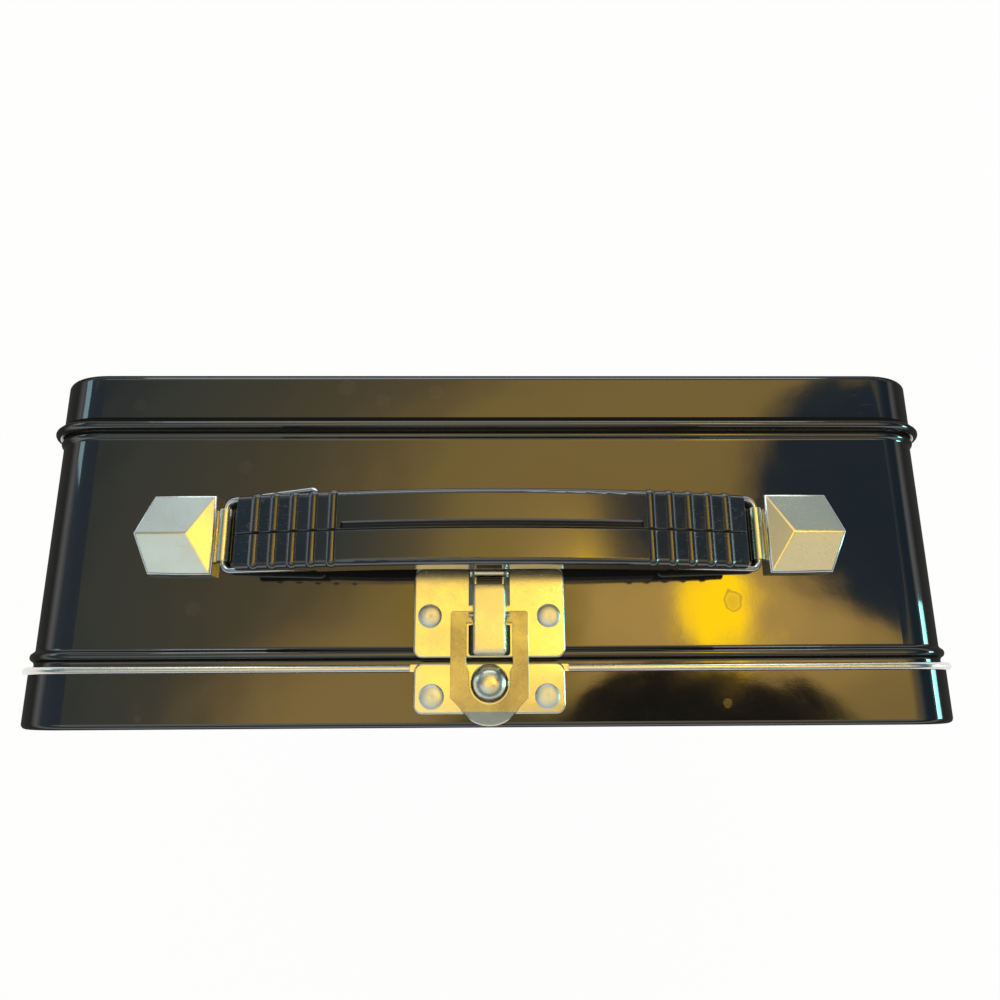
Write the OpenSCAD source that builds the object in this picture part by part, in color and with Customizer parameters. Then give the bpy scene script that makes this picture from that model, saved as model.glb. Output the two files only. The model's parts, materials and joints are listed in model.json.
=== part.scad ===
// Hinged metal lunch box with a drop handle, a hasp latch and a hinged front lid.
// Standing upright on its bottom: X is the width, Y the depth with the lid at -Y, Z is up.

/* [Box] */
// Width over the flat of the lid's side skirts
box_width = 216; // [150:1:300]
// Height over the flat of the lid's top and bottom skirts
box_height = 170; // [120:1:240]
// Depth from the lid's border to the back cover's border
box_depth = 82.8; // [60:0.1:120]
// Corner radius of the outline
corner_radius = 15; // [10:0.5:30]
// Thickness of the tinplate sheet
sheet = 0.5; // [0.3:0.05:0.8]
// Distance of the raised panel from the outline
panel_inset = 12; // [8:0.5:14]
// Height of the raised panel on the lid and the back cover
panel_rise = 0.5; // [0.2:0.1:1]

/* [Lid] */
// Depth of the lid, to the middle of its rolled rim
lid_depth = 12.65; // [10:0.05:18]
// Rounding between the lid's face and its skirt
lid_edge_radius = 1.2; // [1:0.1:3]
// Outer radius of the lid's rolled rim
curl_radius = 0.85; // [0.7:0.05:1.2]
// Gap left in the rolled rim at each end of a hinge
curl_gap = 0.7; // [0.4:0.1:2]

/* [Band] */
// How far the band stands inside the skirts
band_inset = 0.85; // [0.8:0.05:1.5]
// How far the band's front edge reaches into the lid, past the middle of the rim
neck_reach = 2.95; // [2:0.05:3]
// Distance of the front bead's crest behind the middle of the rim
front_bead_gap = 3.1; // [3:0.05:6]
// Distance of the rear bead's crest before the middle of the seam
rear_bead_gap = 2.35; // [2.35:0.05:6]
// Height of the front bead over the band
bead_height = 1.0; // [0.6:0.1:1.8]
// Half the width of the front bead at its foot
bead_half = 1.75; // [1.5:0.05:1.8]
// Radius of the front bead's crest
bead_crest = 1.1; // [0.7:0.05:1.5]
// Height of the rear bead over the band
rear_bead_height = 0.6; // [0.4:0.1:1]
// Half the width of the rear bead at its foot
rear_bead_half = 1.25; // [1:0.05:1.3]
// Radius of the rear bead's crest
rear_bead_crest = 0.85; // [0.7:0.05:1]
// Radius of the band's rolled front edge
neck_roll = 0.7; // [0.5:0.05:1]
// Width of the lap joint under the band
lap_width = 6; // [4:0.5:10]

/* [Back cover] */
// Depth of the back cover, to the middle of the rolled seam that joins it to the band
cover_depth = 13.3; // [8:0.05:20]
// Rounding between the cover's face and its skirt
cover_edge_radius = 1.6; // [0.8:0.05:3]
// How far the cover's skirt stands inside the outline
cover_inset = 0.45; // [0.2:0.05:0.7]
// Length of the slope from the rolled seam down to the skirt
seam_slope = 2.1; // [1.5:0.1:4]

/* [Latch] */
// Sideways place of the latch
latch_x = -0.4; // [-5:0.1:5]
// Width of the latch plate
latch_width = 33.8; // [28:0.1:50]
// Distance of the latch plate's front edge behind the middle of the rim
latch_gap = 2.15; // [1.9:0.05:3]
// Length of the latch plate
latch_length = 20.1; // [18:0.1:21]
// Thickness of the plates of the latch
plate_thick = 0.8; // [0.6:0.05:1.2]
// Width of the keeper plate on the lid
keeper_width = 33.3; // [28:0.1:50]
// Length of the keeper plate
keeper_length = 10.9; // [10:0.1:12]
// How far the keeper plate reaches back over the rim, past the rim's middle
keeper_reach = 1.15; // [1:0.05:1.2]
// Radius of the keeper's dome at the plate
dome_radius = 4.1; // [3.5:0.1:4.3]
// Height of the keeper's dome
dome_height = 3.0; // [2:0.1:3.6]
// Distance of the dome's middle before the middle of the rim
dome_gap = 3.25; // [2.8:0.05:3.8]
// Radius of the heads of the latch rivets
rivet_head = 2.65; // [2:0.05:3.5]
// Height of the heads of the latch rivets
rivet_rise = 0.9; // [0.5:0.1:1.4]
// Width of the hasp
hasp_width = 17.1; // [15:0.1:22]
// Thickness of the hasp
hasp_thick = 1.0; // [0.8:0.05:1.4]
// Distance of the hasp's pivot behind the middle of the rim
pivot_gap = 11.45; // [10:0.05:12]
// Radius of the round journal that the hasp turns on
journal_radius = 0.75; // [0.6:0.05:0.9]
// Clear space round the hasp's journal
journal_gap = 0.3; // [0.1:0.05:0.4]
// Width of the strap over the hasp's cross bar
strap_width = 7.0; // [5:0.1:8]
// Rounding of the strap's long edges
strap_round = 0.9; // [0.4:0.1:1.2]
// Width of the window in the hasp
window_width = 10.2; // [9.6:0.1:12]
// Bend of the hasp's finger tongue
tongue_bend = 22; // [0:1:40]

/* [Handle] */
// Sideways place of the handle
handle_x = 0.3; // [-5:0.1:5]
// Distance of the handle's middle line behind the middle of the box's depth
handle_back = 1.15; // [-3:0.05:5]
// How far the grip hangs in front of the handle's middle line
grip_shift = 0.95; // [0:0.05:1]
// Length of the grip
grip_length = 111.4; // [90:0.2:130]
// Width of the grip
grip_width = 16.4; // [15:0.1:20]
// Thickness of the grip
grip_thick = 9.0; // [7:0.1:12]
// How far the grip arches up in the middle
grip_arch = 7.0; // [2:0.1:10]
// Height of the grip's underside at its ends, over the skirt
grip_low = 0.5; // [0:0.1:3]
// Rounding of the grip's long upper edges
grip_round = 1.4; // [1.3:0.1:2.5]
// Rounding of the grip's long lower edges
grip_under = 1.9; // [1:0.1:2]
// Rounding of the grip's corners as seen from above
grip_corner = 1.0; // [0.6:0.1:3]
// Width of the slim core beside the links' arms, at each end of the grip
core_width = 12.2; // [11:0.1:13]
// Distance from one rib to the next
rib_pitch = 4.25; // [3.6:0.05:5]
// Distance of the outermost rib from the grip's end
rib_end = 5.3; // [3:0.1:10]
// Radius of the rounded ribs
rib_radius = 1.4; // [1:0.05:1.8]
// How far the ribs stand out
rib_rise = 0.42; // [0.2:0.02:0.8]
// Sideways place of the joint between the grip's halves
grip_seam = -0.5; // [-2:0.1:2]
// Radius of the wire of the links
wire_radius = 0.7; // [0.5:0.05:0.9]
// Distance of each link's pivot from the grip's end
link_out = 5.35; // [4:0.05:8]
// Length of a link, from pivot to inner end
link_length = 21.8; // [18:0.1:26]
// How much higher a link's inner end is when the handle is down
link_rise = 4.5; // [3:0.1:6]
// Width of a link, over the middle of its two arms
link_width = 16.4; // [15:0.1:22]
// Outward turn of the left link's rear arm
link_splay = 4; // [0:0.5:6]
// Clear space between a link's wire and the tab it turns in
wire_gap = 0.08; // [0.03:0.01:0.1]
// Free play up and down of the links' ends in the grip's slots
slot_play = 1.9; // [1.7:0.1:3]
// Length of the slots in the grip
slot_length = 13.2; // [12:0.1:15]
// Width of the tab that holds a link
tab_width = 12; // [8:0.1:12]
// Height of the bracket covers' walls over the skirt
bracket_wall = 2.0; // [1:0.1:4]
// Height of the bracket covers' ridges over the skirt
bracket_ridge = 4.0; // [2:0.1:6]
// Width of a bracket cover
bracket_width = 18.4; // [15:0.1:24]
// Length of a bracket cover
bracket_length = 17.5; // [14:0.1:24]

/* [Hinges] */
// Distance of each hinge from the middle of the bottom
hinge_x = 60; // [40:1:80]
// Width of a hinge
hinge_width = 24; // [18:0.5:40]
// Radius of the hinge pin
hinge_pin_radius = 0.5; // [0.4:0.05:0.6]
// Clear space between hinge pin and lid knuckle
hinge_fit = 0.05; // [0.02:0.01:0.1]
// Outer radius of the hinge knuckles
knuckle_radius = 0.85; // [0.8:0.01:0.9]
// Distance of the hinge pin behind the middle of the rim
hinge_back = 0.35; // [0.2:0.05:0.5]
// Radius of the heads of the hinge rivets
hinge_rivet = 1.5; // [1:0.1:2]

/* [Hidden] */
$fn = 48;
R = corner_radius;
t = sheet;
e = 0.01;
rim_out = 2 * curl_radius - t;            // how far rolled rim and seam stand out
zt = box_height + rim_out;                // level of the top skirt
band = R - band_inset;                    // radius of the band's outside at a corner
bw = box_width - 2 * band_inset;          // outside width of the band
half = box_depth / 2;
seam_at = box_depth - cover_depth;
seam_radius = (rim_out + band_inset - 0.05) / 2;
seam_foot = seam_radius - rim_out - cover_inset;
seam_turn = atan2(seam_slope, seam_foot) - acos(seam_radius / norm([seam_foot, seam_slope]));
neck_start = lid_depth - neck_reach;
front_bead_at = lid_depth + front_bead_gap;
rear_bead_at = seam_at - rear_bead_gap;
latch_front = lid_depth + latch_gap;
latch_rear = latch_front + latch_length;
keeper_rear = lid_depth + keeper_reach;
keeper_front = keeper_rear - keeper_length;
dome_at = lid_depth - dome_gap;
pivot_at = lid_depth + pivot_gap;
hinge_at = lid_depth + hinge_back;
handle_at = half + handle_back;
curl_at = R - t + curl_radius;            // radial place of the rim's middle
hinge_gap = hinge_width / 2 + curl_gap;
keep_gap = keeper_width / 2 + 1.3;
plate_low = bead_height - band_inset + 0.05;
plate_top = plate_low + plate_thick;
keeper_low = t;
keeper_top = keeper_low + plate_thick;
hasp_low = plate_top + 0.8;
pivot_z = hasp_low + hasp_thick / 2;
strap_top = pivot_z + journal_radius + journal_gap + 0.65;
strap_rear = pivot_at + 6.7;
hook_at = latch_rear - 2.3;               // front of the rolled hook
dome_ball = (dome_radius * dome_radius + dome_height * dome_height) / (2 * dome_height);
latch_rivets_x = [-latch_width / 2 + 3.65, latch_width / 2 - 3.65];
latch_rivets_at = latch_front + 9.25;
keeper_rivets_x = [-keeper_width / 2 + 4, keeper_width / 2 - 4];
keeper_rivets_at = keeper_front + 3.7;
band_z = -band_inset;                     // top of the band under the skirt level
tab_thick = 0.8;
tab_bore = wire_radius + wire_gap;
tab_roll = tab_bore + tab_thick;
pivot_w = band_z + tab_roll;              // height of the links' pivots over the skirt
rest_angle = asin(link_rise / link_length);
grip_half = grip_length / 2;
link_pivot = grip_half + link_out;
link_half = link_width / 2;
core = core_width / 2;
pin_x = link_pivot - link_length * cos(rest_angle);
slot_w = pivot_w + link_rise;             // height of the links' inner ends at rest
slot_height = 2 * wire_radius + slot_play;
slot_below = wire_radius + 0.3;
arc_r = (grip_half * grip_half + grip_arch * grip_arch) / (2 * grip_arch);
grip_mid = grip_low + grip_thick / 2 + grip_arch;
bracket_in = link_pivot + 2.1;            // inner end of a bracket cover
bracket_hip = 5.6;
bracket_point = 3.2;
bracket_rivets = [4.4, bracket_length - 6.1];
hinge_z = knuckle_radius + 0.05;
leaf = 0.6;
lid_leaf = 0.45;
hinge_rivets_x = [-7.5, 7.5];
body_rivet_at = hinge_at + 9.5;
lid_rivet_at = hinge_at - 6.8;

// ---- frames -------------------------------------------------------------

// children drawn lying on the lid's face (depth along Z) stand up on the bottom
module stand() {
  translate([0, -half, rim_out + box_height / 2]) rotate([-90, 0, 0]) children();
}

// children drawn with y = depth from the lid's face and z = height over the top skirt
module on_top() {
  translate([0, -half, zt]) children();
}

// children drawn with y = depth and z = height over the ground
module under() {
  translate([0, -half, 0]) children();
}

// ---- building blocks ----------------------------------------------------

// sweeps a profile (x = distance from the corner's middle, y = depth) round a rounded rectangle
module around(w, h, r) {
  for (i = [0 : 3])
    translate([(i == 0 || i == 3 ? 1 : -1) * (w / 2 - r), (i < 2 ? 1 : -1) * (h / 2 - r), 0])
      rotate([0, 0, 90 * i]) rotate_extrude(angle = 90) children();
  for (i = [0, 1]) rotate([0, 0, 180 * i]) {
    translate([w / 2 - r, h / 2 - r, 0]) rotate([90, 0, 0]) linear_extrude(h - 2 * r) children();
    translate([-w / 2 + r, h / 2 - r, 0]) rotate([90, 0, 90]) linear_extrude(w - 2 * r) children();
  }
}

module slab2(w, h, r) {
  square([w - 2 * r, h], center = true);
  square([w, h - 2 * r], center = true);
  for (x = [-1, 1], y = [-1, 1]) translate([x * (w / 2 - r), y * (h / 2 - r)]) circle(r);
}

module slab(w, h, r, z0, z1) {
  translate([0, 0, z0]) linear_extrude(z1 - z0) slab2(w, h, r);
}

// the area under a smooth bead of half width w, height h and crest radius r, whose feet lie at level -k
module bead2(w, h, r, k, foot) {
  q = (w * w + h * h) / (2 * h);
  rc = r - k;
  tx = w * rc / q;
  cy = h - r;
  ty = cy + (q - r - cy) * rc / q;
  difference() {
    union() {
      translate([0, cy]) circle(rc);
      polygon([[-w, foot], [w, foot], [w, -k], [tx, ty], [-tx, ty], [-w, -k]]);
    }
    for (s = [-1, 1]) translate([s * w, q - r]) circle(q - r + k);
    translate([-5, foot - 10]) square([10, 10]);
  }
}

module beads2(k, foot) {
  translate([front_bead_at, 0]) bead2(bead_half, bead_height, bead_crest, k, foot);
  translate([rear_bead_at, 0]) bead2(rear_bead_half, rear_bead_height, rear_bead_crest, k, foot);
}

// a rivet standing on z = 0 with its shank down to -grip and a flat tail under that
module rivet(head, rise, shank, grip, tail) {
  ball = (head * head + rise * rise) / (2 * rise);
  rotate_extrude() {
    intersection() {
      translate([0, rise - ball]) circle(ball);
      square([head + 1, rise + 1]);
    }
    translate([0, -grip - e]) square([shank, grip + 2 * e]);
    translate([0, -grip - tail]) square([shank * 1.5, tail]);
  }
}

// ---- box ----------------------------------------------------------------

// face, raised panel and rounded edge of a pressed tray, face at depth 0, skirt at r
module tray_face2(edge, r) {
  c = R - panel_inset;
  translate([c - min(2.2, c), -panel_rise]) square([min(2.2, c) + e, t]);
  polygon([[c, -panel_rise], [c + 1.2, 0], [c + 1.2, t], [c, t - panel_rise]]);
  translate([c + 1.2 - e, 0]) square([r - edge - c - 1.2 + 2 * e, t]);
  translate([r - edge, edge]) intersection() {
    difference() {
      circle(edge);
      circle(edge - t);
    }
    translate([0, -edge]) square([edge, edge]);
  }
}

module tray_panel() {
  c = panel_inset + min(2, 0.6 * (R - panel_inset));
  slab(box_width - 2 * c, box_height - 2 * c, R - c, -panel_rise, t - panel_rise);
}

module lid_skirt2() {
  difference() {
    translate([R - t, lid_edge_radius - e]) square([t, lid_depth - 0.25 - lid_edge_radius]);
    translate([curl_at, lid_depth]) circle(curl_radius + 0.02);
  }
}

module front_lid() {
  color([0.03, 0.03, 0.03])
  difference() {
    stand() {
      around(box_width, box_height, R) {
        tray_face2(lid_edge_radius, R);
        lid_skirt2();
      }
      tray_panel();
    }
    for (x = keeper_rivets_x) on_top() translate([latch_x + x, keeper_rivets_at, -2]) cylinder(r = 1.25, h = 4);
    for (s = [-1, 1]) under() {
      for (x = hinge_rivets_x) translate([s * hinge_x + x, lid_rivet_at, 0]) cylinder(r = 0.75, h = 3);
      // the skirt is cut back round the knuckles
      translate([s * hinge_x - hinge_gap, hinge_at - 1.5, 0]) cube([2 * hinge_gap, 3, 3]);
    }
  }
}

// the rim is rolled outwards, so the bare inner side of the sheet shows
module lid_curl() {
  color([0.8, 0.79, 0.74]) {
    difference() {
      stand() around(box_width, box_height, R) {
        difference() {
          translate([curl_at, lid_depth]) circle(curl_radius);
          translate([curl_at, lid_depth]) circle(curl_radius - 0.8 * t);
          translate([curl_at - 0.5, lid_depth - 0.25]) rotate(215) square([2, 0.35]);
        }
      }
      for (s = [-1, 1]) under()
        translate([s * hinge_x - hinge_gap, lid_depth - 2.5, -1]) cube([2 * hinge_gap, 5, 4]);
      on_top() translate([latch_x - keep_gap, lid_depth - 2.5, -2]) cube([2 * keep_gap, 5, 6]);
    }
    on_top() translate([latch_x - keep_gap, lid_depth - 0.22, -t]) cube([2 * keep_gap, 1.05, 2 * t - 0.02]);
    on_top() translate([latch_x - keep_gap, lid_depth - 0.72, 0.01]) cube([2 * keep_gap, 0.6, t - 0.03]);
    for (s = [-1, 1]) on_top() translate([latch_x + s * keep_gap, lid_depth, curl_at - R]) rotate([0, s * 90, 0]) translate([0, 0, -0.5]) cylinder(r = curl_radius, h = 0.52);
  }
}

module back_cover() {
  color([0.03, 0.03, 0.03])
  stand() {
    translate([0, 0, box_depth]) mirror([0, 0, 1]) tray_panel();
    around(box_width, box_height, R) {
      translate([0, box_depth]) mirror([0, 1]) tray_face2(cover_edge_radius, R - cover_inset);
      difference() {
        union() {
          translate([R - cover_inset - t, seam_at]) square([t, box_depth - seam_at - cover_edge_radius + e]);
          translate([R + rim_out - seam_radius, seam_at]) {
            circle(seam_radius);
            // the folded sheets thin out towards the skirt
            polygon([[seam_foot - t / 2, 0.45], [seam_foot, seam_slope], seam_radius * [cos(seam_turn), sin(seam_turn)], [0.2, 0.45]]);
          }
        }
        translate([R + rim_out - seam_radius, seam_at]) circle(seam_radius - t);
        translate([R - 2, seam_at - 0.35]) square([2, 0.7]);
      }
    }
  }
}

module band_sheet2() {
  rotate(90) mirror([0, 1]) {
    difference() {
      union() {
        translate([neck_start, -t]) square([seam_at - neck_start + t / 2, t]);
        beads2(0, -t);
        translate([seam_at - t / 2, -t]) square([t, t + band_inset + 0.3]);
        translate([neck_start, -t - neck_roll + 0.45]) circle(neck_roll);
      }
      beads2(t, -t - 1);
    }
  }
}

module body_band() {
  color([0.03, 0.03, 0.03])
  difference() {
    union() {
      difference() {
        stand() around(bw, box_height - 2 * band_inset, band) translate([band, 0]) band_sheet2();
        // the front bead is pressed flat where the hinge leaves pass
        for (s = [-1, 1]) under()
          translate([s * hinge_x - hinge_gap, front_bead_at - bead_half - 0.1, -1])
            cube([2 * hinge_gap, 2 * bead_half + 0.2, rim_out + band_inset + 1]);
      }
      for (s = [-1, 1]) under()
        translate([s * hinge_x - hinge_gap, front_bead_at - bead_half - 0.1, rim_out + band_inset])
          cube([2 * hinge_gap, 2 * bead_half + 0.2, t]);
      // lap joint of the sheet
      under() translate([-lap_width / 2, front_bead_at + bead_half, rim_out + band_inset - 0.4])
        cube([lap_width, rear_bead_at - front_bead_at - bead_half - rear_bead_half, 0.5]);
    }
    for (x = latch_rivets_x) on_top() translate([latch_x + x, latch_rivets_at, -3]) cylinder(r = 1.25, h = 4);
    for (s = [-1, 1], x = hinge_rivets_x) under()
      translate([s * hinge_x + x, body_rivet_at, 0]) cylinder(r = 0.75, h = 4);
    for (s = [-1, 1], x = bracket_rivets) on_top()
      translate([handle_x + s * (bracket_in + x), handle_at, -3]) cylinder(r = 1.25, h = 4);
    for (s = [-1, 1], k = [-1, 1]) on_top()
      translate([handle_x + s * (bracket_in + 8) - 2.1, handle_at + k * (bracket_width / 2 - 0.4) - 0.45, -3]) cube([4.2, 0.9, 4]);
  }
}

// ---- latch --------------------------------------------------------------

// pressed plate with a rounded upper edge and turned-down rim, top at z1, rim foot at z0
module pan(w, h, r, low, z1, z0) {
  around(w, h, r) {
    translate([r - plate_thick, z0]) square([plate_thick, z1 - z0 - 0.5]);
    translate([r - plate_thick, z1 - 0.5 - e]) square([plate_thick - 0.5, 0.5 + e]);
    intersection() {
      translate([r - 0.5, z1 - 0.5]) circle(0.5);
      translate([r - 0.5 - e, z1 - 0.5 - e]) square([0.6, 0.6]);
    }
  }
  slab(w - 2 * plate_thick + 2 * e, h - 2 * plate_thick + 2 * e, r - plate_thick + e, low, z1);
}

module latch_plate() {
  h = latch_rear - latch_front;
  color([0.78, 0.75, 0.68])
  on_top() difference() {
    translate([latch_x, latch_front + h / 2, 0]) pan(latch_width, h, 2, plate_low, plate_top, band_z);
    translate([-50, latch_front - 1, -5]) cube([100, front_bead_at + bead_half + 0.3 - latch_front + 1, 5 + plate_low]);
    for (x = latch_rivets_x) translate([latch_x + x, latch_rivets_at, -2]) cylinder(r = 1.25, h = 6);
    // the hole that the strap's metal was bent out of
    translate([latch_x - strap_width / 2 + 0.6, strap_rear - 3.5, -3]) cube([strap_width - 1.2, hook_at - strap_rear + 3.5, 8]);
  }
}

module latch_strap() {
  s = strap_width / 2;
  f = latch_front + 0.5;
  h = strap_top - plate_top;
  color([0.8, 0.77, 0.68])
  on_top() translate([latch_x, 0, 0]) {
    difference() {
      intersection() {
        // across the strap
        translate([0, strap_rear + 1, plate_top]) rotate([90, 0, 0]) linear_extrude(strap_rear + 2 - f) {
          translate([-s, 0]) square([2 * s, h - strap_round]);
          translate([-s + strap_round, 0]) square([2 * s - 2 * strap_round, h]);
          for (k = [-1, 1]) translate([k * (s - strap_round), h - strap_round]) circle(strap_round);
        }
        // along the strap, with its rounded front lip
        translate([-s - 1, 0, plate_top]) rotate([90, 0, 90]) linear_extrude(strap_width + 2) {
          translate([f, 0]) square([1, h - 0.7]);
          translate([f + 0.7, 0]) square([strap_rear - 0.4 - f - 0.7, h]);
          translate([f + 0.7, h - 0.7]) circle(0.7);
          translate([strap_rear - 1, 0]) square([1, h - 0.4]);
          translate([strap_rear - 0.4, h - 0.4]) circle(0.4);
        }
      }
      translate([-s + 0.6, f + 0.7, plate_top - 1]) cube([strap_width - 1.2, pivot_at + 10 - f, h + 0.35]);
      translate([-s - 1, pivot_at, pivot_z]) rotate([0, 90, 0]) cylinder(r = journal_radius + journal_gap, h = strap_width + 2);
    }
    // foot with its rolled hook at the rear edge
    difference() {
      translate([-5.3, pivot_at + 1.5, plate_top]) cube([10.6, latch_rear - 0.5 - pivot_at - 1.5, 0.45]);
      translate([-s + 0.6, pivot_at - 1, plate_top - 1]) cube([strap_width - 1.2, hook_at - pivot_at + 1, 3]);
    }
    translate([-s, hook_at + 1.3, plate_top]) difference() {
      rotate([0, 90, 0]) cylinder(r = 1.3, h = strap_width);
      translate([-1, -3, -3]) cube([strap_width + 2, 6, 3]);
    }
  }
}

module latch_rivets() {
  color([0.82, 0.78, 0.68])
  on_top() for (x = latch_rivets_x)
    translate([latch_x + x, latch_rivets_at, plate_top + 0.005]) rivet(rivet_head, rivet_rise, 1.2, plate_top + band_inset + t + 0.02, 0.6);
}

module keeper_plate() {
  h = keeper_rear - keeper_front;
  color([0.78, 0.75, 0.68])
  on_top() difference() {
    union() {
      translate([latch_x, keeper_front + h / 2, 0]) pan(keeper_width, h, 2, keeper_low, keeper_top, 0.02);
      intersection() {
        translate([latch_x, dome_at, keeper_top + dome_height - dome_ball]) sphere(dome_ball);
        translate([latch_x - 6, dome_at - 6, keeper_top - 0.1]) cube([12, 12, 8]);
      }
    }
    intersection() {
      translate([latch_x, dome_at, keeper_top + dome_height - dome_ball]) sphere(dome_ball - plate_thick);
      translate([latch_x - 6, dome_at - 6, keeper_low - 1]) cube([12, 12, 8]);
    }
    translate([latch_x - 30, lid_depth - 0.9, -2]) cube([60, 4, 2 + keeper_low]);
    for (x = keeper_rivets_x) translate([latch_x + x, keeper_rivets_at, -2]) cylinder(r = 1.25, h = 6);
  }
}

module keeper_rivets() {
  color([0.82, 0.78, 0.68])
  on_top() for (x = keeper_rivets_x)
    translate([latch_x + x, keeper_rivets_at, keeper_top + 0.005]) rivet(rivet_head + 0.1, rivet_rise, 1.2, keeper_top + t + 0.02, 0.6);
}

// flat outline of the hasp
module hasp2() {
  w = hasp_width / 2;
  d = dome_at;
  m = dome_radius + 0.35;
  tip = ((w - 2.2) * (w - 2.2) + 3.94 * 3.94) / (2 * 3.94);   // radius of the tongue's round end
  difference() {
    union() {
      translate([-w + 0.8, d - 3]) square([2 * w - 1.6, pivot_at + 0.9 - d + 3 - e]);
      translate([-w, d - 3]) square([2 * w, pivot_at + 0.1 - d + 3]);
      for (s = [-1, 1]) translate([s * (w - 0.8), pivot_at + 0.1]) circle(0.8);
      polygon([[-w, d - 3 + e], [w, d - 3 + e], [w - 2.2, d - 5.2], [-w + 2.2, d - 5.2]]);
      intersection() {
        translate([0, d - 5.2 - 3.94 + tip]) circle(tip);
        translate([-w - 1, d - 5.2 - 6]) square([2 * w + 2, 6 + 2 * e]);
      }
    }
    translate([-window_width / 2, d + 3.7]) square([window_width, pivot_at - 1.65 - d - 3.7]);
    polygon([[-m, d - 0.1], [m, d - 0.1], [m, d + 2.4], [window_width / 2, d + 3.71], [-window_width / 2, d + 3.71], [-m, d + 2.4]]);
    translate([0, d - 0.1]) circle(m);
    translate([-strap_width / 2 - 0.4, pivot_at - 3]) square([strap_width + 0.8, 6]);
  }
}

module hasp() {
  bend = dome_at - 6.1;
  color([0.75, 0.75, 0.72])
  on_top() translate([latch_x, 0, hasp_low]) {
    intersection() {
      linear_extrude(hasp_thick) hasp2();
      translate([-20, bend, -1]) cube([40, 40, 4]);
    }
    translate([0, bend, 0]) rotate([-tongue_bend, 0, 0]) translate([0, -bend, 0]) intersection() {
      linear_extrude(hasp_thick) hasp2();
      translate([-20, -5, -1]) cube([40, 5 + bend + e, 4]);
    }
    translate([-strap_width / 2 - 1, pivot_at, hasp_thick / 2]) rotate([0, 90, 0]) cylinder(r = journal_radius, h = strap_width + 2);
  }
}

// ---- handle -------------------------------------------------------------

// half of the grip's section: x = distance from the seam outwards, y = height over the section's middle
module grip2(side) {
  w = grip_width / 2;
  s = grip_seam * side;
  u = grip_under;
  difference() {
    intersection() {
      union() {
        translate([-w, -grip_thick / 2 + u]) square([2 * w, grip_thick - u - grip_round]);
        translate([-w + u, -grip_thick / 2]) square([2 * w - 2 * u, u + 1]);
        translate([-w + grip_round, 0]) square([2 * w - 2 * grip_round, grip_thick / 2]);
        for (k = [-1, 1]) {
          translate([k * (w - grip_round), grip_thick / 2 - grip_round]) circle(grip_round);
          translate([k * (w - u), -grip_thick / 2 + u]) circle(u);
        }
      }
      translate([s, -20]) square([40, 40]);
    }
    translate([s, grip_thick / 2]) rotate(45) square(0.36, center = true);
  }
}

// half a rounded rib across the top, its round end standing a little out of the side
module rib_half(side) {
  d = rib_radius - rib_rise;
  s = grip_seam * side + 0.33;
  run = grip_width / 2 - 0.15 - d - s;
  translate([0, side * s, arc_r + grip_thick / 2 - d]) rotate([-90 * side, 0, 0]) rotate_extrude() {
    square([rib_radius, run]);
    translate([0, run]) intersection() {
      circle(rib_radius);
      square(rib_radius);
    }
  }
}

// turns a flat shape round the grip's arch, by the given angle to each side
module arched(span) {
  rotate([-90, 0, 0]) rotate([0, 0, -90 - span]) rotate_extrude(angle = 2 * span, $fn = 720)
    translate([arc_r, 0]) children();
}

module grip_half_solid(side) {
  span = 16;
  w = grip_width / 2;
  plain = grip_half - rib_end - 4 * rib_pitch - rib_radius - 0.4;
  slot_at = slot_w - slot_below - (grip_mid - arc_r);
  on_top() translate([handle_x, handle_at - grip_shift, grip_mid - arc_r]) difference() {
    union() {
      intersection() {
        arched(span) mirror([0, side > 0 ? 0 : 1]) rotate(90) mirror([0, 1]) grip2(side);
        translate([0, 0, arc_r - 30]) slab(grip_length, grip_width + 1, grip_corner + 0.5, 0, 60);
        translate([-grip_half, -20, arc_r - grip_arch - 20]) cube([grip_length, 40, 60]);
      }
      for (s = [-1, 1], i = [0 : 4])
        rotate([0, asin(s * (grip_half - rib_end - i * rib_pitch) / arc_r), 0]) rib_half(side);
    }
    // broad groove along the joint of the two halves, between the ribs
    arched(asin(plain / arc_r)) translate([grip_thick / 2, -grip_seam]) rotate(45) square(1.15, center = true);
    for (s = [-1, 1]) {
      // room for the link's arm under the end of the grip, and the slot for its tip
      translate([s * (pin_x - slot_below - 0.35 + 15), side * (core + 4), slot_at + slot_height / 2 - 9.85])
        cube([30, 8, slot_height + 20], center = true);
      translate([s * (pin_x - slot_below + slot_length / 2), side * core, slot_at + slot_height / 2])
        cube([slot_length, 4.2, slot_height], center = true);
    }
  }
}

module grip_front() {
  color([0.05, 0.05, 0.05]) grip_half_solid(-1);
}

module grip_back() {
  color([0.05, 0.05, 0.05]) grip_half_solid(1);
}

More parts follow.
